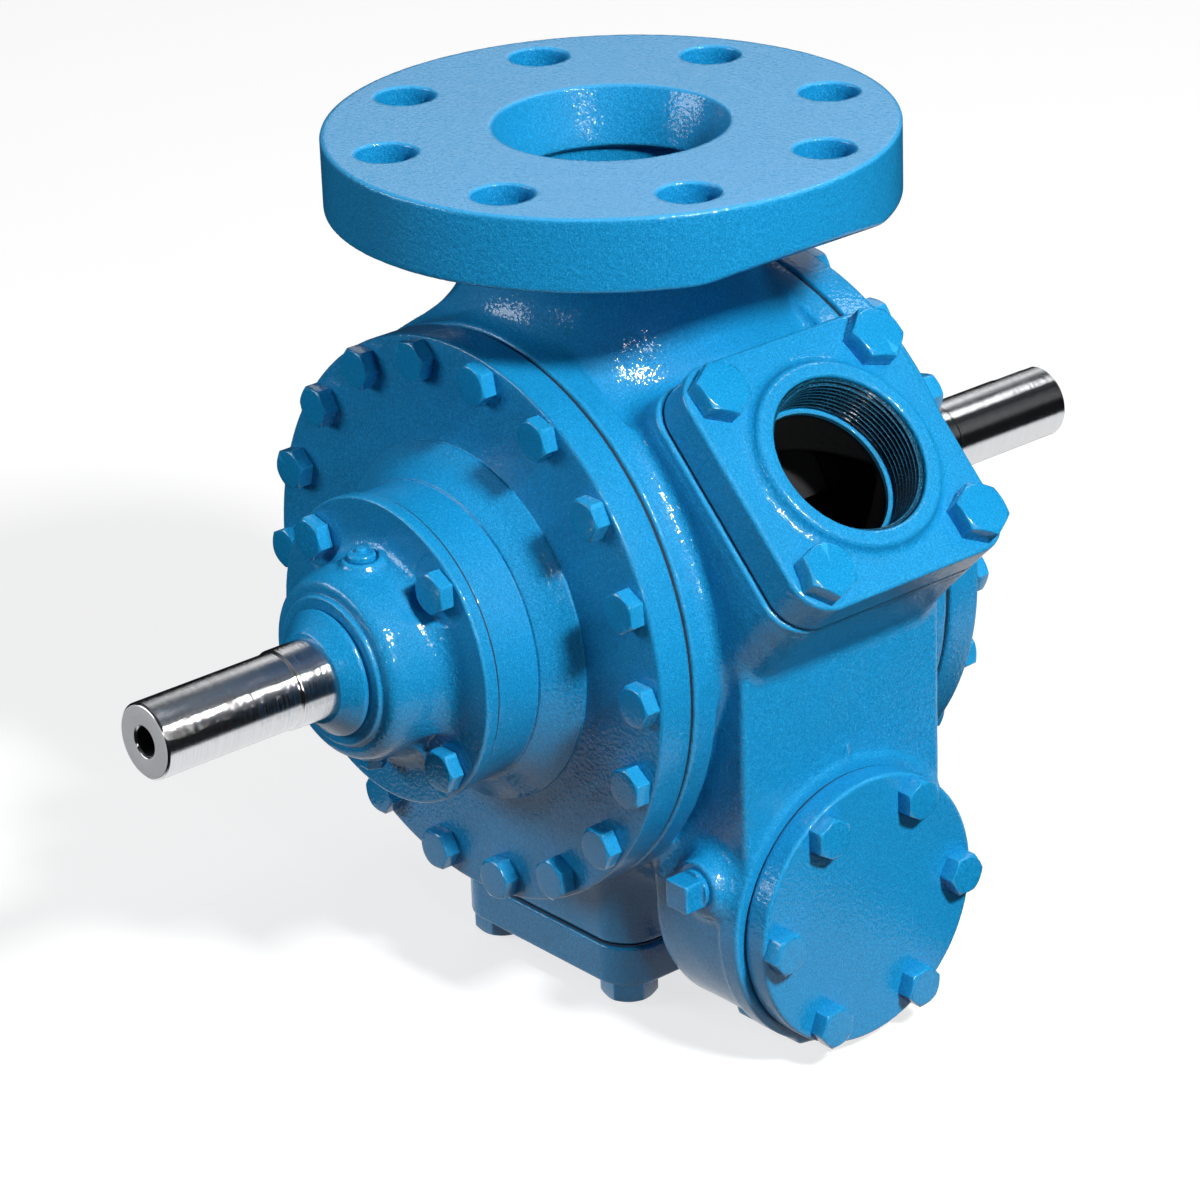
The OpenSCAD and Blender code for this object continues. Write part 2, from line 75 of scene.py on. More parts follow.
# ------------------------------------------------------------------ materials
def nodes_of(name):
    m = bpy.data.materials.new(name)
    m.use_nodes = True
    nt = m.node_tree
    nt.nodes.clear()
    out = nt.nodes.new("ShaderNodeOutputMaterial")
    b = nt.nodes.new("ShaderNodeBsdfPrincipled")
    nt.links.new(b.outputs[0], out.inputs[0])
    return m, nt, b


def noise(nt, coord, scale, detail=3.0, rough=0.55, dist=0.0):
    n = nt.nodes.new("ShaderNodeTexNoise")
    n.inputs["Scale"].default_value = scale
    n.inputs["Detail"].default_value = detail
    n.inputs["Roughness"].default_value = rough
    n.inputs["Distortion"].default_value = dist
    nt.links.new(coord, n.inputs["Vector"])
    return n.outputs["Fac"]


def ramp(nt, fac, stops):
    r = nt.nodes.new("ShaderNodeValToRGB")
    e = r.color_ramp.elements
    while len(e) < len(stops):
        e.new(0.5)
    for k, (p, c) in enumerate(stops):
        e[k].position = p
        e[k].color = (*c, 1) if len(c) == 3 else (c[0],) * 3 + (1,)
    nt.links.new(fac, r.inputs[0])
    return r.outputs["Color"]


def mixc(nt, fac, a, b, mode="MIX"):
    m = nt.nodes.new("ShaderNodeMix")
    m.data_type = "RGBA"
    m.blend_type = mode
    for sock, val in ((m.inputs[0], fac), (m.inputs[6], a), (m.inputs[7], b)):
        if hasattr(val, "is_output"):
            nt.links.new(val, sock)
        elif isinstance(val, (int, float)):
            sock.default_value = val
        else:
            sock.default_value = (*val, 1)
    return m.outputs[2]


def math_(nt, op, a, b=None, clamp=False):
    m = nt.nodes.new("ShaderNodeMath")
    m.operation = op
    m.use_clamp = clamp
    for k, val in enumerate((a, b)):
        if val is None:
            continue
        if hasattr(val, "is_output"):
            nt.links.new(val, m.inputs[k])
        else:
            m.inputs[k].default_value = val
    return m.outputs[0]


def bump(nt, height, strength, distance, normal=None):
    b = nt.nodes.new("ShaderNodeBump")
    b.inputs["Strength"].default_value = strength
    b.inputs["Distance"].default_value = distance
    nt.links.new(height, b.inputs["Height"])
    if normal is not None:
        nt.links.new(normal, b.inputs["Normal"])
    return b.outputs["Normal"]


def position(nt):
    g = nt.nodes.new("ShaderNodeTexCoord")
    return g.outputs["Object"]


def enamel(name, base=(0.005, 0.262, 0.575), cast=1.0, peel=1.0, rough=0.46, faced_top_sheen=False):
    """Gloss blue enamel over a sand-cast or machined skin; the top-face option gives the face at z = 0 a finely turned,
    rougher finish and lightens its colour as a painted sheen.
    """
    m, nt, b = nodes_of(name)
    p = position(nt)
    big = noise(nt, p, 13.0, 4.0, 0.6)
    mid = noise(nt, p, 520.0, 4.0, 0.65)
    fine = noise(nt, p, 1700.0, 3.0, 0.7)
    specks = noise(nt, p, 1700.0, 2.0, 0.6)
    col = mixc(nt, big, tuple(c * 0.80 for c in base), tuple(min(1, c * 1.14) for c in base))
    col = mixc(nt, ramp(nt, specks, [(0.36, (0.85,)), (0.52, (0.0,))]), col, tuple(c * 0.70 for c in base))
    col = mixc(nt, ramp(nt, specks, [(0.53, (0.0,)), (0.70, (0.50,))]), col, (0.04, 0.42, 0.80))
    geo = nt.nodes.new("ShaderNodeNewGeometry")
    # painted highlight: convex edges found by pointiness are lightened towards a brighter blue
    edge_highlight = ramp(nt, geo.outputs["Pointiness"], [(0.515, (0.0,)), (0.575, (1.0,))])
    col = mixc(nt, math_(nt, "MULTIPLY", edge_highlight, 0.40), col, (0.05, 0.46, 0.86))
    # painted shade: concave creases found by pointiness are darkened towards a deep blue
    crease_shade = ramp(nt, geo.outputs["Pointiness"], [(0.42, (1.0,)), (0.485, (0.0,))])
    col = mixc(nt, math_(nt, "MULTIPLY", crease_shade, 0.65), col, (0.002, 0.045, 0.12))
    rg = ramp(nt, mid, [(0.25, (rough * 0.78,)), (0.8, (rough * 1.35,))])
    height = fine
    if faced_top_sheen:
        sep = nt.nodes.new("ShaderNodeSeparateXYZ")
        nt.links.new(p, sep.inputs[0])
        top = ramp(nt, math_(nt, "MULTIPLY", math_(nt, "ADD", sep.outputs[2], 0.0012), 1000.0), [(0.0, (0.0,)), (1.0, (1.0,))])
        rg = mixc(nt, top, rg, (0.42, 0.42, 0.42))
        # painted sheen: the top face is lightened towards a paler blue
        col = mixc(nt, math_(nt, "MULTIPLY", top, 0.30), col, (0.11, 0.44, 0.78))
    nt.links.new(col, b.inputs["Base Color"])
    nt.links.new(rg, b.inputs["Roughness"])
    b.inputs["Coat Weight"].default_value = 0.60
    b.inputs["Coat Roughness"].default_value = 0.045
    b.inputs["Specular IOR Level"].default_value = 0.14
    n1 = bump(nt, mid, 1.0, 0.00042 * cast)
    n2 = bump(nt, height, 1.0, 0.00010 * peel, n1)
    nt.links.new(n2, b.inputs["Normal"])
    # the clear gloss follows a coarser orange peel, so that it breaks into separate glints
    orange = noise(nt, p, 640.0, 1.5, 0.5)
    nt.links.new(bump(nt, orange, 1.0, 0.00026 * peel), b.inputs["Coat Normal"])
    return m


def metal(name, base, rough, streak=None, bumpy=0.0, scale=600.0, metallic=1.0):
    m, nt, b = nodes_of(name)
    p = position(nt)
    b.inputs["Metallic"].default_value = metallic
    if streak:
        mp = nt.nodes.new("ShaderNodeMapping")
        mp.inputs["Scale"].default_value = streak
        nt.links.new(p, mp.inputs["Vector"])
        s = noise(nt, mp.outputs[0], 1.0, 5.0, 0.7)
    else:
        s = noise(nt, p, scale, 4.0, 0.6)
    nt.links.new(mixc(nt, s, tuple(c * 0.80 for c in base), tuple(min(1, c * 1.08) for c in base)), b.inputs["Base Color"])
    nt.links.new(ramp(nt, s, [(0.2, (rough * 0.7,)), (0.8, (rough * 1.4,))]), b.inputs["Roughness"])
    if bumpy:
        nt.links.new(bump(nt, s, bumpy, 0.0002), b.inputs["Normal"])
    return m


def dull(name, base, rough=0.7, scale=400.0, bumpy=0.3):
    m, nt, b = nodes_of(name)
    p = position(nt)
    s = noise(nt, p, scale, 4.0, 0.6)
    nt.links.new(mixc(nt, s, tuple(c * 0.75 for c in base), tuple(min(1, c * 1.2) for c in base)), b.inputs["Base Color"])
    nt.links.new(ramp(nt, s, [(0.2, (rough * 0.85,)), (0.8, (min(1, rough * 1.15),))]), b.inputs["Roughness"])
    nt.links.new(bump(nt, s, bumpy, 0.0004), b.inputs["Normal"])
    return m


M = {
    "cast": enamel("blue_enamel_cast"),
    "casing": enamel("blue_enamel_casing", faced_top_sheen=True),
    "machined": enamel("blue_enamel_machined", cast=0.35, peel=0.8, rough=0.36),
    "bolt": enamel("blue_enamel_bolt", cast=0.3, peel=0.5, rough=0.26),
    # painted shade: near-black material stands for the dark inside of ports, bores and gaps
    "inside": dull("painted_shade_inside", (0.002, 0.003, 0.005), 0.85, 500.0, 0.4),
    "joint": dull("joint_shadow", (0.002, 0.014, 0.030), 0.75, 900.0, 0.3),
    # painted shade: a dark copy of the blue enamel for the thread and seat inside the ports
    "thread": enamel("enamel_port_shade", base=(0.003, 0.030, 0.060), cast=0.2, peel=0.4, rough=0.38),
    "steel": metal("turned_steel", (0.80, 0.81, 0.83), 0.14, (25.0, 2200.0, 25.0), 0.48),
    # painted reflection: a near-white, barely metallic face stands for the bright reflection on the shaft's end and
    # shoulder faces
    "steel_face": metal("steel_face_painted_reflection", (0.92, 0.93, 0.94), 0.45, None, 0.3, 1400.0, 0.05),
    "bearing": metal("bearing_steel", (0.66, 0.67, 0.70), 0.22, (200.0, 3000.0, 200.0), 0.1),
    # machined iron, its colour darkened further as painted shade for the parts seen inside the pump
    "iron": metal("iron_darkened_for_shade", (0.045, 0.046, 0.05), 0.6, None, 0.3, 900.0),
    "bronze": metal("bronze", (0.66, 0.44, 0.20), 0.34, None, 0.2, 700.0),
    "rubber": dull("seal_rubber", (0.02, 0.02, 0.022), 0.55, 300.0, 0.2),
    "carbon": dull("carbon", (0.03, 0.03, 0.033), 0.35, 900.0, 0.1),
    "gasket": dull("gasket_sheet", (0.004, 0.045, 0.10), 0.75, 1500.0, 0.4),
    "vane": dull("vane_composite", (0.05, 0.05, 0.055), 0.5, 700.0, 0.2),
}
SLOT = {"cast": "blue_enamel", "machined": "blue_enamel", "bolt": "blue_enamel", "steel": "turned_steel"}


# ------------------------------------------------------------------ mesh helpers
def new_mesh(name, verts, faces_quads=None, faces_any=None, mats=(), smooth=True, mat_index=None):
    me = bpy.data.meshes.new(name)
    if faces_quads is not None:
        v = np.asarray(verts, np.float32)
        q = np.asarray(faces_quads, np.int32)
        me.vertices.add(len(v))
        me.vertices.foreach_set("co", (v * MM).astype(np.float32).ravel())
        me.loops.add(q.size)
        me.loops.foreach_set("vertex_index", q.ravel())
        me.polygons.add(len(q))
        me.polygons.foreach_set("loop_start", np.arange(0, q.size, 4, dtype=np.int32))
        me.polygons.foreach_set("loop_total", np.full(len(q), 4, np.int32))
        me.polygons.foreach_set("use_smooth", np.full(len(q), smooth, bool))
    else:
        me.from_pydata([tuple(c * MM for c in p) for p in verts], [], [tuple(f) for f in faces_any])
        me.polygons.foreach_set("use_smooth", np.full(len(me.polygons), smooth, bool))
    for m in mats:
        me.materials.append(M[m])
    if mat_index is not None:
        me.polygons.foreach_set("material_index", np.asarray(mat_index, np.int32))
    me.update(calc_edges=True)
    me.validate()
    o = bpy.data.objects.new(name, me)
    bpy.context.scene.collection.objects.link(o)
    return o


def sharp_by_angle(o, deg):
    bpy.context.view_layer.objects.active = o
    for s in bpy.context.selected_objects:
        s.select_set(False)
    o.select_set(True)
    bpy.ops.object.shade_smooth_by_angle(angle=math.radians(deg))
    return o


# ------------------------------------------------------------------ implicit shapes
def smin(a, b, k):
    h = np.clip(0.5 + 0.5 * (b - a) / k, 0, 1)
    return b + (a - b) * h - k * h * (1 - h)


def smax(a, b, k):
    return -smin(-a, -b, k)


def cyl(rad, ax, R, a0, a1, r=0.0):
    dx = rad - (R - r)
    dy = np.abs(ax - (a0 + a1) / 2) - ((a1 - a0) / 2 - r)
    return np.minimum(np.maximum(dx, dy), 0) + np.hypot(np.maximum(dx, 0), np.maximum(dy, 0)) - r


def rect2(u, v, hu, hv, rc):
    dx, dy = np.abs(u) - (hu - rc), np.abs(v) - (hv - rc)
    return np.minimum(np.maximum(dx, dy), 0) + np.hypot(np.maximum(dx, 0), np.maximum(dy, 0)) - rc


def prism(u, v, w, hu, hv, rc, w0, w1, r=0.0):
    d2 = rect2(u, v, hu, hv, rc) + r
    dy = np.abs(w - (w0 + w1) / 2) - ((w1 - w0) / 2 - r)
    return np.minimum(np.maximum(d2, dy), 0) + np.hypot(np.maximum(d2, 0), np.maximum(dy, 0)) - r


def upsample(c, f):
    for ax in range(3):
        n = c.shape[ax]
        pos = np.arange((n - 1) * f + 1) / f
        i = np.minimum(pos.astype(int), n - 2)
        t = (pos - i).astype(np.float32)
        sh = [1, 1, 1]
        sh[ax] = -1
        t = t.reshape(sh)
        c = np.take(c, i, ax) * (1 - t) + np.take(c, i + 1, ax) * t
    return c


def surface(f, lo, hi, h, polish=3):
    """Quad mesh of f = 0 by surface nets on a grid of step h (mm)."""
    F = 4
    lo = np.array(lo, float)
    n = np.ceil((np.array(hi, float) - lo) / (h * F)).astype(int) + 1
    ax = [(lo[k] + np.arange(n[k]) * h * F).astype(np.float32) for k in range(3)]
    X, Y, Z = np.meshgrid(*ax, indexing="ij")
    coarse = f(X.ravel(), Y.ravel(), Z.ravel()).astype(np.float32).reshape(X.shape)
    g = upsample(coarse, F)
    idx = np.nonzero(np.abs(g.ravel()) < 3.6 * h)[0]
    sh = g.shape
    fl = g.ravel()
    for part in np.array_split(idx, max(1, len(idx) // 1500000)):
        i, j, k = np.unravel_index(part, sh)
        fl[part] = f((lo[0] + i * h).astype(np.float32), (lo[1] + j * h).astype(np.float32), (lo[2] + k * h).astype(np.float32))
    g = fl.reshape(sh)
    s = g < 0
    cnt = np.zeros([d - 1 for d in sh], np.int8)
    for a in (0, 1):
        for b in (0, 1):
            for c in (0, 1):
                cnt += s[a:sh[0] - 1 + a, b:sh[1] - 1 + b, c:sh[2] - 1 + c]
    act = (cnt > 0) & (cnt < 8)
    ci, cj, ck = np.nonzero(act)
    vid = np.full(act.shape, -1, np.int32)
    vid[ci, cj, ck] = np.arange(len(ci))
    corner = [(a, b, c) for a in (0, 1) for b in (0, 1) for c in (0, 1)]
    val = [g[ci + a, cj + b, ck + c] for a, b, c in corner]
    acc = np.zeros((len(ci), 3))
    num = np.zeros(len(ci))
    for p in range(8):
        for q in range(p + 1, 8):
            d = [abs(corner[p][t] - corner[q][t]) for t in range(3)]
            if sum(d) != 1:
                continue
            a, b = val[p], val[q]
            m = (a < 0) != (b < 0)
            t = np.where(m, a / np.where(m, a - b, 1), 0)
            for t3 in range(3):
                acc[:, t3] += np.where(m, corner[p][t3] + (corner[q][t3] - corner[p][t3]) * t, 0)
            num += m
    v = (np.stack([ci, cj, ck], 1) + acc / num[:, None]) * h + lo
    quads = []
    for axis in range(3):
        a = [slice(None)] * 3
        b = [slice(None)] * 3
        a[axis], b[axis] = slice(0, -1), slice(1, None)
        sa, sb = s[tuple(a)], s[tuple(b)]
        ch = sa != sb
        o1, o2 = (axis + 1) % 3, (axis + 2) % 3
        i = np.array(np.nonzero(ch))
        ok = (i[o1] > 0) & (i[o2] > 0) & (i[o1] < act.shape[o1]) & (i[o2] < act.shape[o2])
        i = i[:, ok]
        inside = sa[tuple(i)]
        def cell(d1, d2):
            c = i.copy()
            c[o1] -= d1
            c[o2] -= d2
            return vid[tuple(c)]
        q = np.stack([cell(1, 1), cell(0, 1), cell(0, 0), cell(1, 0)], 1)
        q[~inside] = q[~inside][:, ::-1]
        quads.append(q)
    q = np.concatenate(quads)
    q = q[(q >= 0).all(1)]
    e = 0.15 * h
    for _ in range(polish):
        x, y, z = v[:, 0], v[:, 1], v[:, 2]
        d = f(x, y, z)
        gx = f(x + e, y, z) - f(x - e, y, z)
        gy = f(x, y + e, z) - f(x, y - e, z)
        gz = f(x, y, z + e) - f(x, y, z - e)
        g3 = np.stack([gx, gy, gz], 1) / (2 * e)
        gn = np.maximum((g3 ** 2).sum(1), 0.2)
        step = -(d / gn)[:, None] * g3
        ln = np.linalg.norm(step, axis=1)
        step *= np.minimum(1, 0.6 * h / np.maximum(ln, 1e-9))[:, None]
        v = v + step
    return v, q


def mirror_y(v, q):
    w = v.copy()
    w[:, 1] *= -1
    return w, q[:, ::-1].copy()


def wob(x, y, z):
    """Low, smooth unevenness of a sand casting, in mm."""
    return 0.10 * (np.sin(0.113 * x + 0.071 * z + 1.3) * np.sin(0.127 * y + 0.4) + 0.6 * np.sin(0.211 * y - 0.173 * z + 2.0)
                   * np.sin(0.187 * x + 0.9) + 0.45 * np.sin(0.37 * x + 0.29 * y) * np.sin(0.41 * z + 0.33 * y + 1.1))


# ------------------------------------------------------------------ casing
def discharge_axes(x, y, z):
    zz = z - Z0
    return (x - zz) * S2 - 31.5, y, (x + zz) * S2     # across the slope, along the shaft, outwards


def casing_f(x, y, z):
    zz = z - Z0
    ry = np.hypot(x, zz)
    rz = np.hypot(x, y)
    ay = np.abs(y)
    v, w, n = discharge_axes(x, y, z)
    side_x = np.clip((16 - x) / 32, 0, 1)
    body = cyl(ry - 7.2 * side_x * side_x * (3 - 2 * side_x) * np.clip((56 - ay) / 5, 0, 1), y, 102.6, -61, 61, 2)
    neck = cyl(rz, z, 53.5, -150, -8, 1)
    body = smin(body, neck, 26)
    # slanted pad: straight sides that widen a little towards the barrel
    vp = v + 0.8
    pad = prism(vp, w, n, 50.4, 51.2, 15, 20, 121.15, 1.1)
    draft = 0.045 * np.clip(121 - n, 0, 60)
    flare = prism(vp, w, n, 50.0 + draft, 50.8 + draft, 16, 20, 118.5, 3)
    pad = smin(pad, flare, 1.5)
    body = smin(body, pad, 10)
    # flat panel between the pad and the relief housing
    front = prism(y, z + 206.0, x, 48.6, 60.0, 9, 30, 117.55, 2.4)
    front = smin(front, prism(y - 1.0, z + 212.0, x, 0.7, 4.2, 0.6, 110, 118.2, 0.3), 0.8)
    body = smin(body, front, 3)
    rh = np.hypot(y, z + 270.7)
    side = cyl(rh, x, 53.4, 70, 112, 5)
    body = smin(body, side, 9)
    hous = cyl(rh, x, 55.4, 108.6, 118.45, 1.1)
    body = smin(body, hous, 3)
    duct = cyl(np.hypot(y, z + 266.7), x, 36, 8, 92, 4)
    body = smin(body, duct, 12)
    bot = prism(x, y, z, 49.6, 49.6, 15, -300.95, -190, 1.2)
    body = smin(body, bot, 14)
    body = np.maximum(body, -np.maximum(z + 301.0, x - 50.8))
    # rims that carry the heads, last so that their edges stay crisp
    rims = cyl(ry, ay, 107.8, 51.8, 62.55, 1.3)
    body = smin(body, rims, 4.5)
    boss = cyl(np.hypot(x - 100, z + 252), y, 10.6, -57.8, -30, 1.2)
    body = smin(body, boss, 8)
    foot = prism(y, z + 311.2, x, 25.5, 11.2, 2.2, 84, 118.2, 1.6)
    body = smin(body, foot, 2.5)
    body = body + wob(x, y, z) * np.clip((-30 - z) / 12, 0, 1) + 0.12
    fl = cyl(rz, z, 104.775, -27.1, 0, 1.1)
    a = math.radians(29.3)
    fl = smax(fl, (x - 95) * math.sin(a) - (z + 27.1) * math.cos(a), 0.9)
    body = smin(body, fl, 8)
    # head seats
    body = smax(body, np.minimum(ay - 62.55, -z - 61.0), 0.8)
    # flange bolt holes
    ang = np.arctan2(y, x)
    sec = math.pi / 4
    fa = ang - sec * np.floor(ang / sec) - sec / 2
    hx, hy = rz * np.cos(fa) - 84.1375, rz * np.sin(fa)
    hole = np.maximum(np.hypot(hx, hy) - 11.1, -(z + 34))
    body = smax(body, -hole, 0.5)
    # mouth and throat
    wall = np.where(z > -21, 36.6 + 0.3048 * (z + 21), np.minimum(36.6 + (-21 - z) * 1.4167, 40.0))
    cone = np.maximum((rz - wall) * 0.95, -(z + 140))
    body = smax(body, -cone, 0.6)
    # bore, galleries and ports
    bore = ry - 82
    body = smax(body, -bore, 1.2)
    gal = np.maximum(np.maximum(ry - 95, np.abs(y) - 38), x)
    body = smax(body, -gal, 2)
    dis = prism(x - 78.5, y, zz, 28.5, 36, 4, -60, 60, 3)
    body = smax(body, -dis, 2)
    rd = np.hypot(v, w)
    port = cyl(rd, n, 27.0, 60, 140, 0)
    body = smax(body, -port, 0.9)
    bport = cyl(rz, z, 27.0, -310, -240, 0)
    body = smax(body, -bport, 0.9)
    cham = cyl(rh, x, 36, 90, 125, 3)
    body = smax(body, -cham, 1.2)
    return body


def casing():
    v, q = surface(casing_f, (-112, -108, -335), (150, 108, 4), CAST_H)
    c = v[q].mean(1)
    x, y, z = c.T
    zz = z - Z0
    ry = np.hypot(x, zz)
    rz = np.hypot(x, y)
    vv, ww, nn = discharge_axes(x, y, z)
    rd = np.hypot(vv, ww)
    ay = np.abs(y)
    # painted shade: faces inside the ports, galleries, bore, lower throat and head seat gaps take the near-black
    # material
    painted_shade_mask = ((rd < 28.5) & (nn < 119.9) & (nn > 30)) | ((ay < 38.5) & (x > 45) & (x < 108) & (np.abs(zz) < 61)) \
        | ((ry < 83) & (ay < 63)) | ((rz < 27.9) & (z < -240)) | ((ry < 95.6) & (ay < 38.5) & (x < 0.5)) \
        | ((rz < 40.8) & (z < -31.0) & (z > -150)) | ((ry < 104) & (ay > 62.2))
    o = new_mesh("casing_body", v, q, mats=("casing", "inside"), mat_index=painted_shade_mask.astype(np.int32))
    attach(o, "pump_body")
    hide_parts("casing")
    return o


CAST_H = 1.1


# ------------------------------------------------------------------ heads and covers
def heads():
    pts = [(22.5, 80), (22.5, 86), (40, 86), (40, 109.4), (56.5, 109.4), (56.5, 91.0), (57.45, 90.95)]
    rad = [0, 0, 0, 0.6, 0.9, 0.25, 0.35]
    for t in (0.2, 0.4, 0.6, 0.8):     # slightly hollow cone
        k = 0.9 * math.sin(math.pi * t)
        pts.append((57.45 + 10.75 * t - 0.73 * k, 90.95 - 11.35 * t - 0.68 * k))
        rad.append(0)
    pts += [(68.2, 79.6), (68.25, 78.6)]
    rad += [0.3, 0.25]
    for r in (74, 80, 86, 92, 98, 103):
        pts.append((r, 78.6))
        rad.append(0)
    pts += [(107.9, 78.6), (107.9, 74), (107.9, 69), (107.9, 63.95), (100.5, 63.95), (100.5, 63.35), (32, 63.35), (32, 76), (22.5, 76)]
    rad += [1.3, 0, 0, 1.0, 0, 0, 0, 0, 0]
    prof = fillet_profile(pts + [pts[0]], rad + [0], 4)[:-1]
    v, q, mi = lathe("head", prof, None, 216, close=True)
    q = q[:, ::-1]
    r = np.hypot(v[:, 0], v[:, 2] - Z0)
    w = wob(v[:, 0], v[:, 1] * 1.3, v[:, 2])
    face = (v[:, 1] > 66) & (r > 57)
    rim = r > 104
    v[:, 1] -= np.where(face, 0.12 + w * 0.6, 0)
    rr = np.where(rim, -0.12 + w * 0.5, 0)
    v[:, 0] += rr * v[:, 0] / np.maximum(r, 1)
    v[:, 2] += rr * (v[:, 2] - Z0) / np.maximum(r, 1)
    for side, (vv, qq) in (("far", (v, q)), ("near", mirror_y(v, q))):
        o = new_mesh(side + "_head_casting", vv, qq, mats=("cast",))
        sharp_by_angle(o, 42)
        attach(o, "pump_body")
        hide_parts(side + "_head")


def cover_f(x, y, z):
    zz = z - Z0
    r = np.hypot(x, zz)
    d = cyl(r, y, 57.95, 110.15, 115.8, 0.9)
    hub = cyl(r, y, 37.4, 108, 138.9, 7.0)
    hub = smax(hub, (r - 37.0) * 0.985 + (y - 124) * 0.17, 3.0)
    d = smin(d, hub, 9)
    d = smin(d, cyl(r, y, 28.2, 120, 140.75, 0.8), 0.8)
    for s in (1, -1):
        b = cyl(np.hypot(x, y - 123.5), zz * s, 6.9, 20, 38.45, 1.0)
        d = smin(d, b, 4)
        d = smax(d, -cyl(np.hypot(x, y - 123.5), zz * s, 6.0, 38.45, 60, 0), 0.6)
    for a in (45, 135, 225, 315):
        ca, sa = 49.05 * math.cos(math.radians(a)), 49.05 * math.sin(math.radians(a))
        d = smax(d, -cyl(np.hypot(x - ca, zz - sa), y, 13.1, 115.75, 125.4, 0), 0.8)
    d = smax(d, -cyl(r, y, 30, 100, 118, 0), 1)
    d = smax(d, -cyl(r, y, 21, 110, 135.8, 0), 1)
    d = smax(d, -cyl(r, y, 16.3, 120, 150, 0), 0.8)
    return d


def pair(name, f, lo, hi, h, node, mat, body="pump_body", gap=None):
    v, q = surface(f, lo, hi, h)
    c = v[q].mean(1)
    # painted shade: the cover's inner face behind the gasket takes the near-black material
    painted_shade_mask = (c[:, 1] < gap[0]) & (np.hypot(c[:, 0], c[:, 2] - Z0) < gap[1])
    for side, (vv, qq) in (("far", (v, q)), ("near", mirror_y(v, q))):
        o = new_mesh(side + "_" + name, vv, qq, mats=(mat, "inside"), mat_index=painted_shade_mask.astype(np.int32))
        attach(o, body)
        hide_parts(side + "_" + node)


# ------------------------------------------------------------------ companion flanges
def companion_f(x, y, z, t=16.5, rise=4.4):
    rz = np.hypot(x, y)
    d = prism(x, y, z, 49.8, 49.8, 15, -t, 0, 1.5)
    hub = cyl(rz, z, 36.8, -8, rise, 1.8)
    d = smin(d, hub, 5.0)
    d = smax(d, -(rz - 30.15), 0.7)
    d = smax(d, -((rz - 30.15 - np.clip(z - rise + 0.9, 0, 9) * 0.8) * 0.8), 0.8)
    return d


def thread(name, z0, z1, rmaj, rmin, pitch):
    """Internal pipe thread, a helical strip facing the port's axis."""
    na, per = 180, 10
    turns = (z1 - z0) / pitch
    nz = int(turns * per)
    a = np.arange(na) * 2 * np.pi / na
    rows = []
    for j in range(nz + 1):
        zz = z0 + (z1 - z0) * j / nz
        ph = ((zz / pitch) - a / (2 * np.pi)) % 1.0
        saw = 1 - np.abs(ph * 2 - 1)
        saw = np.clip((saw - 0.06) / 0.88, 0, 1)
        r = rmaj - (rmaj - rmin) * saw
        fade = min(1.0, (z1 - zz) / 1.2)
        r = rmaj - (rmaj - r) * max(0.0, fade)
        rows.append(np.stack([r * np.cos(a), r * np.sin(a), np.full(na, zz)], 1))
    v = np.concatenate(rows)
    q = []
    for j in range(nz):
        i = np.arange(na)
        i2 = (i + 1) % na
        q.append(np.stack([j * na + i, (j + 1) * na + i, (j + 1) * na + i2, j * na + i2], 1))
    return v, np.concatenate(q)


def place(v, kind):
    """Companion flange frame (face up at z = 0) to the row frame."""
    if kind == "discharge":
        c = np.array([S2 * (138.2 + 31.5), 0, Z0 + S2 * (138.2 - 31.5)])
        ux, uy, uz = np.array([S2, 0, -S2]), np.array([0, 1, 0]), np.array([S2, 0, S2])
    else:
        c = np.array([0, 0, -318.5])
        ux, uy, uz = np.array([1, 0, 0]), np.array([0, -1, 0]), np.array([0, 0, -1])
    return c + v[:, :1] * ux + v[:, 1:2] * uy + v[:, 2:3] * uz


def companions():
    t, rise = 16.5, 4.4
    v, q = surface(companion_f, (-52, -52, -19), (52, 52, 7), 0.8)
    tv, tq = thread("t", -t + 0.7, rise - 1.8, 30.12, 28.55, 2.209)
    for kind in ("discharge", "bottom"):
        o = new_mesh(kind + "_companion", place(v, kind), q, mats=("cast",))
        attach(o, "pump_body")
        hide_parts(kind + "_flange")
        th = new_mesh(kind + "_pipe_thread", place(tv, kind), tq, mats=("thread",))
        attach(th, "pump_body")
        # painted seat round the casing's port, seen past the thread; its dark enamel paints the shade inside the port
        ring = [(26.9, -t - 0.75), (30.5, -t - 0.75), (30.5, -t - 2.4), (26.9, -t - 2.4)]
        a = np.arange(96) * 2 * np.pi / 96
        w = np.concatenate([np.stack([r * np.cos(a), r * np.sin(a), np.full(96, z)], 1) for r, z in ring])
        i = np.arange(96)
        f = np.concatenate([np.stack([k * 96 + i, ((k + 1) % 4) * 96 + i, ((k + 1) % 4) * 96 + (i + 1) % 96, k * 96 + (i + 1) % 96], 1) for k in range(4)])
        so = new_mesh(kind + "_port_seat", place(w, kind), f, mats=("thread",))
        sharp_by_angle(so, 40)
        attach(so, "pump_body")


# dark bands of painted shadow set into the head and cover joint gaps
def joint_lines():
    for side, s in (("near", -1), ("far", 1)):
        prof = [(106.5, s * 61.0), (106.5, s * 65.4), (103.0, s * 65.4), (103.0, s * 61.0)]
        v, q, mi = lathe("j", prof, None, 180, close=True)
        if s > 0:
            q = q[:, ::-1]
        o = new_mesh(side + "_head_joint_line", v, q, mats=("joint",))
        sharp_by_angle(o, 40)
        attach(o, "pump_body")
        prof = [(56.95, s * 109.3), (56.95, s * 110.5), (54.0, s * 110.5), (54.0, s * 109.3)]
        v, q, mi = lathe("j", prof, None, 180, close=True)
        if s > 0:
            q = q[:, ::-1]
        o = new_mesh(side + "_cover_joint_line", v, q, mats=("joint",))
        sharp_by_angle(o, 40)
        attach(o, "pump_body")


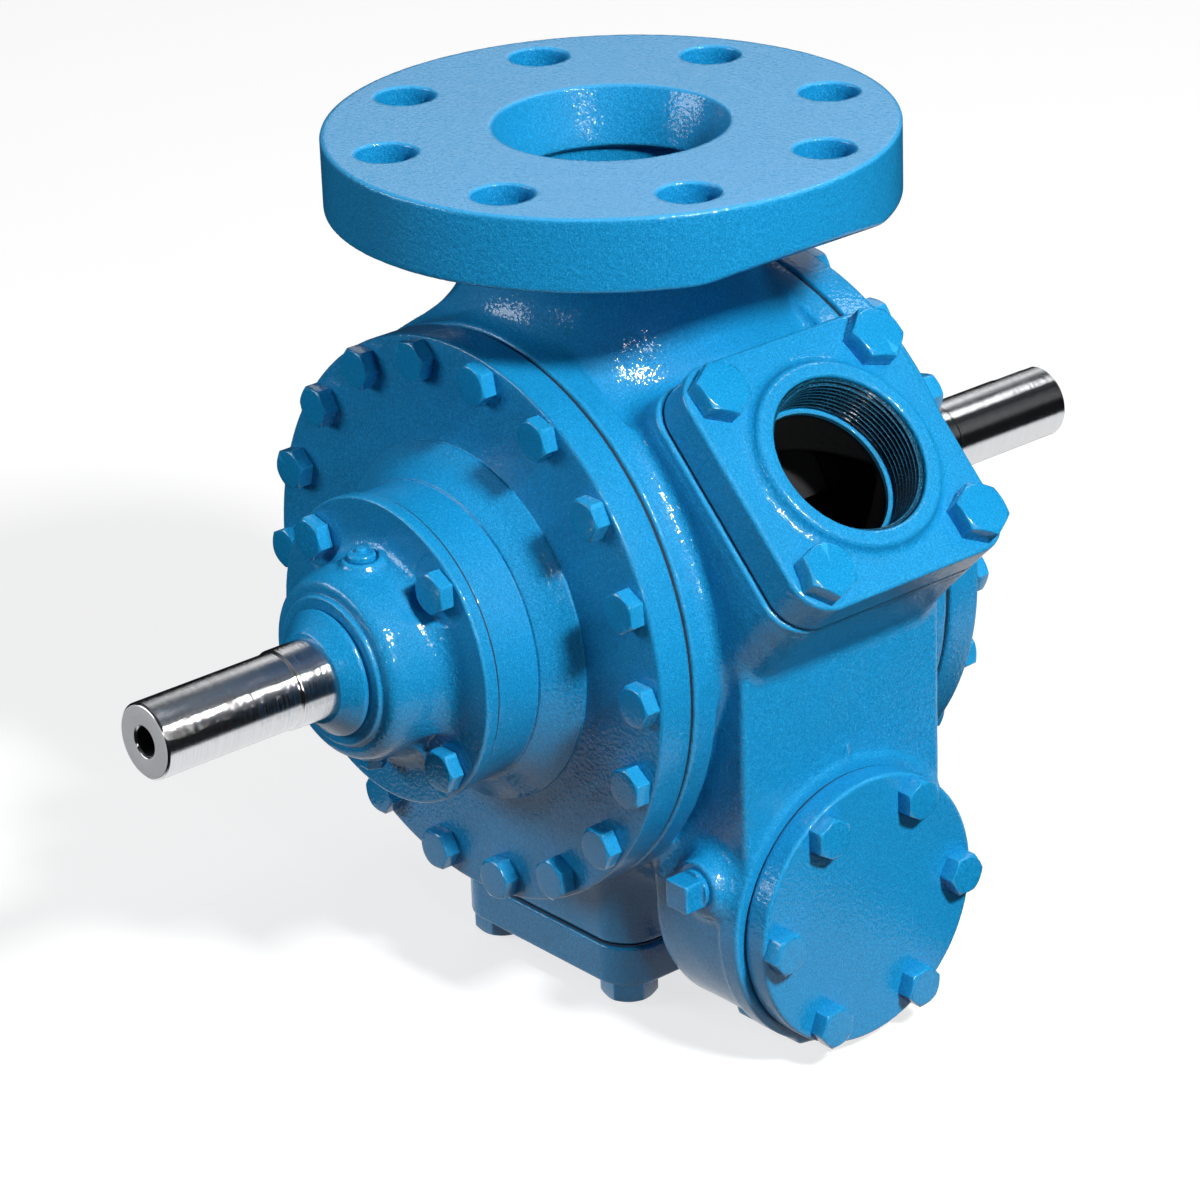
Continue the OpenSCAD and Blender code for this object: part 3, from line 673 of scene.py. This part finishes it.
# ------------------------------------------------------------------ bolts
def hex_head(af, H, seed_detail=10, bevel=0.35):
    """Hexagon head along +Z with its corners turned off at 30 degrees and softened edges."""
    ap = af / 2
    n = 6 * seed_detail
    a = np.arange(n) * 2 * np.pi / n + math.pi / 6
    loc = (a % (math.pi / 3)) - math.pi / 6
    rh = ap / np.cos(loc)
    rc = ap * 0.96
    top = H - np.maximum(0, rh - rc) * math.tan(math.radians(30))
    verts, faces = [], []
    def ring(r, z):
        k = len(verts)
        for i in range(n):
            verts.append((r[i] * math.cos(a[i]), r[i] * math.sin(a[i]), z[i]))
        return k
    r0 = ring(rh, np.zeros(n))
    r1 = ring(rh, top)
    r2 = ring(np.full(n, rc), np.full(n, H))
    r3 = ring(np.full(n, rc * 0.5), np.full(n, H))
    for i in range(n):
        j = (i + 1) % n
        faces.append((r0 + i, r0 + j, r1 + j, r1 + i))
        faces.append((r1 + i, r1 + j, r2 + j, r2 + i))
        faces.append((r2 + i, r2 + j, r3 + j, r3 + i))
    c = len(verts)
    verts.append((0, 0, H))
    for i in range(n):
        faces.append((r3 + i, r3 + (i + 1) % n, c))
    faces.append(tuple(r0 + i for i in reversed(range(n))))
    me = bpy.data.meshes.new("hex")
    me.from_pydata([tuple(c * MM for c in p) for p in verts], [], faces)
    o = bpy.data.objects.new("hex", me)
    bpy.context.scene.collection.objects.link(o)
    mod = o.modifiers.new("b", "BEVEL")
    mod.width = bevel * MM
    mod.segments = 2
    mod.limit_method = "ANGLE"
    mod.angle_limit = math.radians(24)
    mod.harden_normals = False
    dg = bpy.context.evaluated_depsgraph_get()
    ev = o.evaluated_get(dg).to_mesh()
    v = np.array([p.co[:] for p in ev.vertices]) / MM
    f = [list(p.vertices) for p in ev.polygons]
    o.evaluated_get(dg).to_mesh_clear()
    bpy.data.objects.remove(o)
    return v, f


def washer_ring(v, f, r, h=0.5):
    """Thin painted fillet where the head meets its seat."""
    n = 48
    k = len(v)
    a = np.arange(n) * 2 * np.pi / n
    out = np.stack([(r + 0.5) * np.cos(a), (r + 0.5) * np.sin(a), np.full(n, 0.02)], 1)
    inn = np.stack([(r - 0.2) * np.cos(a), (r - 0.2) * np.sin(a), np.full(n, h)], 1)
    f = f + [[k + i, k + (i + 1) % n, k + n + (i + 1) % n, k + n + i] for i in range(n)]
    return np.concatenate([v, out, inn]), f


def bolt_set(name, head, places, node, body="pump_body", mat="bolt", seed=1):
    rng = np.random.RandomState(seed)
    hv, hf = head
    V, Fc = [], []
    for c, axis in places:
        z = np.array(axis, float)
        z /= np.linalg.norm(z)
        t = np.array([0, 0, 1.0]) if abs(z[2]) < 0.9 else np.array([1.0, 0, 0])
        x = np.cross(t, z)
        x /= np.linalg.norm(x)
        y = np.cross(z, x)
        a = rng.uniform(0, math.pi / 3)
        xr, yr = math.cos(a) * x + math.sin(a) * y, -math.sin(a) * x + math.cos(a) * y
        k = sum(len(p) for p in V)
        V.append(np.array(c) + hv[:, :1] * xr + hv[:, 1:2] * yr + hv[:, 2:3] * z)
        Fc += [[i + k for i in f] for f in hf]
    o = new_mesh(name, np.concatenate(V), faces_any=Fc, mats=(mat,))
    sharp_by_angle(o, 35)
    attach(o, body)
    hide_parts(node)
    return o


def circle_y(n, r, y, a0=0.0):
    return [((r * math.cos(a), y, Z0 + r * math.sin(a)), (0, 1 if y > 0 else -1, 0))
            for a in (math.radians(a0 + 360 / n * k) for k in range(n))]


def bolts():
    h38 = hex_head(14.3, 6.1)
    h38c = hex_head(14.3, 5.8)
    h38r = hex_head(14.3, 6.6)
    h12 = hex_head(19.0, 8.0, bevel=0.45)
    for s, side in ((-1, "near"), (1, "far")):
        bolt_set(side + "_head_hex_bolts", h38, circle_y(18, 99.4, s * 78.6), side + "_head_bolts", seed=5 + s)
        bolt_set(side + "_cover_hex_bolts", h38c, circle_y(4, 49.05, s * 115.8, 45), side + "_cover_bolts", seed=15 + s)
    for kind, seed in (("discharge", 3), ("bottom", 4)):
        pts = np.array([(a * 36.95, b * 36.95, 0.0) for a in (-1, 1) for b in (-1, 1)])
        w = place(pts, kind)
        ax = (S2, 0, S2) if kind == "discharge" else (0, 0, -1)
        bolt_set(kind + "_hex_bolts", h12, [(p, ax) for p in w], kind + "_flange_bolts", seed=seed)
    rv = [((129.5, 44.3 * math.cos(a), -270.7 + 44.3 * math.sin(a)), (1, 0, 0)) for a in (math.radians(60 * k) for k in range(6))]
    bolt_set("relief_hex_bolts", h38r, rv, "relief_cover_bolts", seed=9)


# ------------------------------------------------------------------ relief cover
def relief_cover_f(x, y, z):
    r = np.hypot(y, z + 270.7)
    d = cyl(r, x, 52.0, 119.3, 129.5, 1.2)
    d = smin(d, cyl(r, x, 16, 108, 121, 1), 3)
    d = smax(d, -cyl(r, x, 6.1, 90, 122, 0), 0.8)
    return d


# ------------------------------------------------------------------ turned parts
def lathe(name, profile, mats, n=128, axis="y", centre=(0, 0, Z0), mat_index=None, close=False):
    """profile: [(radius, along)], revolved about the axis through centre."""
    a = np.arange(n) * 2 * np.pi / n
    V, Q, MI = [], [], []
    for r, t in profile:
        V.append(np.stack([r * np.cos(a), np.full(n, t), r * np.sin(a)], 1))
    v = np.concatenate(V)
    k = len(profile)
    for j in range(k - (0 if close else 1)):
        j2 = (j + 1) % k
        i = np.arange(n)
        i2 = (i + 1) % n
        Q.append(np.stack([j * n + i, j * n + i2, j2 * n + i2, j2 * n + i], 1))
        MI += [mat_index[j] if mat_index else 0] * n
    q = np.concatenate(Q)
    if axis == "x":
        v = v[:, [1, 0, 2]]
        q = q[:, ::-1]
    v = v + np.array(centre)
    return v, q, np.array(MI)


def fillet_profile(pts, r=0.4, n=4):
    """Rounds each inner corner of an open profile; r is one radius or one per point."""
    radii = r if isinstance(r, list) else [r] * len(pts)
    out = [pts[0]]
    for i in range(1, len(pts) - 1):
        r = radii[i]
        if r == 0:
            out.append(pts[i])
            continue
        p, a, b = (np.array(t, float) for t in (pts[i], pts[i - 1], pts[i + 1]))
        da, db = a - p, b - p
        la, lb = np.linalg.norm(da), np.linalg.norm(db)
        rr = min(r, la * 0.45, lb * 0.45)
        pa, pb = p + da / la * rr, p + db / lb * rr
        for k in range(n + 1):
            t = k / n
            out.append(tuple((1 - t) ** 2 * pa + 2 * t * (1 - t) * p + t * t * pb))
    out.append(pts[-1])
    return out


def shaft():
    L = 222.25
    half = [(0.05, L - 20), (5.3, L - 20), (5.3, L - 1.0), (6.2, L), (13.4, L), (14.2875, L - 0.9), (14.2875, 164.2), (15.0, 163.2), (15.0, 118.0), (17.0, 117.9), (17.0, 107.0),
            (17.5, 106.9), (17.5, 86), (20, 86), (20, 64), (21, 63.9), (21, 0)]
    prof = fillet_profile(half, 0.25, 3)
    other = [(r, -t) for r, t in reversed(prof)]
    full = prof[:-1] + [(21, 0)] + other[1:]
    v, q, mi = lathe("shaft", full, None, 160)
    q = q[:, ::-1]
    mid = v[q].mean(1)
    r = np.hypot(mid[:, 0], mid[:, 2] - Z0)
    nrm = np.cross(v[q[:, 1]] - v[q[:, 0]], v[q[:, 2]] - v[q[:, 0]])
    facey = np.abs(nrm[:, 1]) > 0.8 * np.linalg.norm(nrm, axis=1)
    # painted shade: the centre bores at the shaft ends take the near-black material
    bore = (r < 5.6) & (np.abs(mid[:, 1]) > 150)
    mi = np.where(bore, 2, np.where(facey, 1, 0))
    o = new_mesh("through_shaft", v, q, mats=("steel", "steel_face", "inside"), mat_index=mi)
    # keyway cut in the far end
    bm = bmesh.new()
    bmesh.ops.create_cube(bm, size=1.0)
    bmesh.ops.scale(bm, vec=(6.35 * MM, 32 * MM, 8 * MM), verts=bm.verts)
    bmesh.ops.translate(bm, vec=(0, (L - 21.5 + 16) * MM, (14.2875 - 3.2 + 4) * MM), verts=bm.verts)
    bmesh.ops.rotate(bm, cent=(0, 0, 0), matrix=Matrix.Rotation(math.radians(-28), 3, "Y"), verts=bm.verts)
    bmesh.ops.translate(bm, vec=(0, 0, Z0 * MM), verts=bm.verts)
    cm = bpy.data.meshes.new("keycut")
    bm.to_mesh(cm)
    bm.free()
    cm.materials.append(M["steel_face"])
    co = bpy.data.objects.new("keycut", cm)
    bpy.context.scene.collection.objects.link(co)
    mod = o.modifiers.new("key", "BOOLEAN")
    mod.operation = "DIFFERENCE"
    mod.solver = "EXACT"
    mod.object = co
    mod.material_mode = "TRANSFER"
    dg = bpy.context.evaluated_depsgraph_get()
    me = bpy.data.meshes.new_from_object(o.evaluated_get(dg))
    o.modifiers.clear()
    o.data = me
    bpy.data.objects.remove(co)
    sharp_by_angle(o, 30)
    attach(o, "rotor_group")
    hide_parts("shaft")


def dirt_shields():
    prof = [(15.02, 149.25), (17.0, 149.15), (23.35, 143.2), (23.75, 142.1), (23.4, 141.25), (15.02, 141.25)]
    prof = fillet_profile(prof, 0.5, 4)
    v, q, mi = lathe("ring", prof, None, 128)
    q = q[:, ::-1]
    for side, (vv, qq) in (("far", (v, q)), ("near", mirror_y(v, q))):
        o = new_mesh(side + "_shield_ring", vv, qq, mats=("machined",))
        sharp_by_angle(o, 45)
        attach(o, "rotor_group")
        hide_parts(side + "_dirt_shield")


# ------------------------------------------------------------------ small fittings
def plug_f(x, y, z):
    u, w = x - 100, z + 252
    d = prism(u, w, y, 5.6, 5.6, 0.9, -67.4, -56, 0.8)
    d = smin(d, cyl(np.hypot(u, w), y, 7.4, -59.4, -50, 0.6), 0.8)
    return d


def fitting_f(x, y, z):
    # low painted cap, upright, seat at z = 0
    r = np.hypot(x, y)
    d = cyl(r, z, 5.3, -0.4, 2.7, 1.1)
    d = smin(d, cyl(r, z, 2.1, 0, 4.4, 0.8), 0.8)
    return smin(d, cyl(r, z, 2.9, -6, 1, 0.3), 0.4)


def vent_f(x, y, z):
    r = np.hypot(x, y)
    a = np.arctan2(y, x)
    sec = math.pi / 3
    fa = a - sec * np.floor(a / sec) - sec / 2
    hx = r * np.cos(fa) - 4.5
    d = smax(hx, np.abs(z - 2.2) - 2.2, 0.7)
    return smin(d, cyl(r, z, 2.9, -6, 1, 0.3), 0.4)


def fittings():
    v, q = surface(plug_f, (90, -72, -262), (110, -46, -242), 0.4)
    o = new_mesh("square_pipe_plug", v, q, mats=("bolt",))
    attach(o, "pump_body"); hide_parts("housing_pipe_plug")
    for f, nm, node, s in ((fitting_f, "grease_nipple_pair", "grease_fittings", 1), (vent_f, "grease_vent_pair", "grease_vents", -1)):
        v, q = surface(f, (-7, -7, -7), (7, 7, 9), 0.3)
        w = v * np.array([1, 1, s]) + np.array([0, 123.5, Z0 + s * 38.5])
        qq = q if s > 0 else q[:, ::-1]
        w2, q2 = mirror_y(w, qq)
        o = new_mesh(nm, np.concatenate([w, w2]), np.concatenate([qq, q2 + len(w)]), mats=("bolt",))
        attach(o, "pump_body"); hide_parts(node)


# ------------------------------------------------------------------ CAD nodes that keep their shape
# interior parts, the relief seat among them, take the darkened iron, which paints the shade inside the pump
KEEP = {"liner": "iron", "near_end_disc": "iron", "far_end_disc": "iron", "rotor": "iron",
        "relief_seat": "iron", "relief_valve": "bearing", "relief_spring": "bearing", "liner_key": "bearing", "rotor_key": "bearing"}
for _s in ("near_", "far_"):
    KEEP.update({_s + "head_oring": "rubber", _s + "bearing_outer_race": "bearing", _s + "bearing_inner_race": "bearing",
                 _s + "seal_seat": "carbon", _s + "cover_gasket": "gasket", _s + "grease_seal": "rubber", _s + "lock_washer": "bearing",
                 _s + "locknut": "bearing", _s + "seal_ring": "bearing", _s + "ball_set": "bearing"})
for _k in range(1, 7):
    KEEP["vane_%d" % _k] = "vane"
KEEP.update({"discharge_gasket": "gasket", "bottom_gasket": "gasket", "relief_cover_gasket": "gasket"})


def keep_nodes():
    for n, m in KEEP.items():
        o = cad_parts[n]
        o.data.materials.clear()
        o.data.materials.append(M[m])


# ------------------------------------------------------------------ stage
def stage():
    sc = bpy.context.scene
    sc.view_settings.view_transform = "Standard"
    bpy.ops.mesh.primitive_plane_add(size=90, location=(0, 0, -0.3280))
    floor = bpy.context.object
    floor.name = "floor"
    m, nt, b = nodes_of("floor_pale")
    b.inputs["Base Color"].default_value = (0.34, 0.34, 0.34, 1)
    b.inputs["Emission Color"].default_value = (1.0, 1.0, 1.0, 1)
    b.inputs["Emission Strength"].default_value = 0.72
    b.inputs["Roughness"].default_value = 0.95
    b.inputs["Specular IOR Level"].default_value = 0.1
    floor.data.materials.append(m)
    floor.visible_diffuse = False
    floor.visible_glossy = False
    w = bpy.data.worlds.new("studio")
    sc.world = w
    w.use_nodes = True
    nt = w.node_tree
    bg = nt.nodes["Background"]
    tc = nt.nodes.new("ShaderNodeTexCoord")
    sep = nt.nodes.new("ShaderNodeSeparateXYZ")
    nt.links.new(tc.outputs["Generated"], sep.inputs[0])
    col = ramp(nt, sep.outputs[2], [(0.0, (0.02, 0.022, 0.026)), (0.45, (0.035, 0.04, 0.05)), (0.70, (0.10, 0.105, 0.12)), (1.0, (0.75, 0.80, 0.86))])
    nt.links.new(col, bg.inputs[0])
    bg.inputs[1].default_value = 0.30

    def area(name, direction, dist, size, power, color=(1, 1, 1), sy=None, target=(0.02, 0, -0.15)):
        l = bpy.data.lights.new(name, "AREA")
        l.shape = "RECTANGLE"
        l.size, l.size_y = size, sy or size
        l.energy = power
        l.color = color
        o = bpy.data.objects.new(name, l)
        sc.collection.objects.link(o)
        d = Vector(direction).normalized()
        o.location = Vector(target) + d * dist
        o.rotation_euler = (-d).to_track_quat("-Z", "Y").to_euler()
        return o

    area("key", (0.80, -0.06, 0.70), 2.3, 0.28, 70, (1.0, 0.985, 0.96))
    area("back", (-0.62, 0.60, 0.52), 2.2, 1.1, 4.5)
    area("streak", (0.05, 0.60, 0.80), 2.0, 0.5, 6)
    area("band", (0.66, 0.62, 0.42), 2.0, 0.9, 0.5, sy=0.9)
    area("left_fill", (-0.56, -0.77, 0.26), 1.9, 1.1, 15, (0.95, 0.97, 1.0), 0.5)
    area("front", (0.93, -0.24, 0.28), 1.9, 0.18, 4.5)
    area("front_left", (0.25, -0.95, 0.17), 1.9, 0.10, 1.2)
    # pale cards on the floor that only the bright steel and the gloss reflect
    for name, x, y, sx, sy in (("card_near", 0.06, -0.10, 0.42, 0.34), ("card_far", 0.06, 0.36, 0.42, 0.34)):
        o = area(name, (0, 0, -1), 0.01, sx, 0.40, sy=sy)
        o.location = (x, y, -0.3270)
        o.rotation_euler = (math.pi, 0, 0)
        o.visible_diffuse = False


# ------------------------------------------------------------------ build
casing()
heads()
pair("cover_casting", cover_f, (-61, 106, -233), (61, 144, -110), 0.75, "bearing_cover", "cast", gap=(110.4, 55.5))
companions()
joint_lines()
v, q = surface(relief_cover_f, (105, -55, -326), (133, 55, -215), 0.9)
rc = new_mesh("round_relief_cover", v, q, mats=("cast",))
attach(rc, "pump_body"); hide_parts("relief_cover")
bolts()
shaft()
dirt_shields()
fittings()
keep_nodes()
stage()
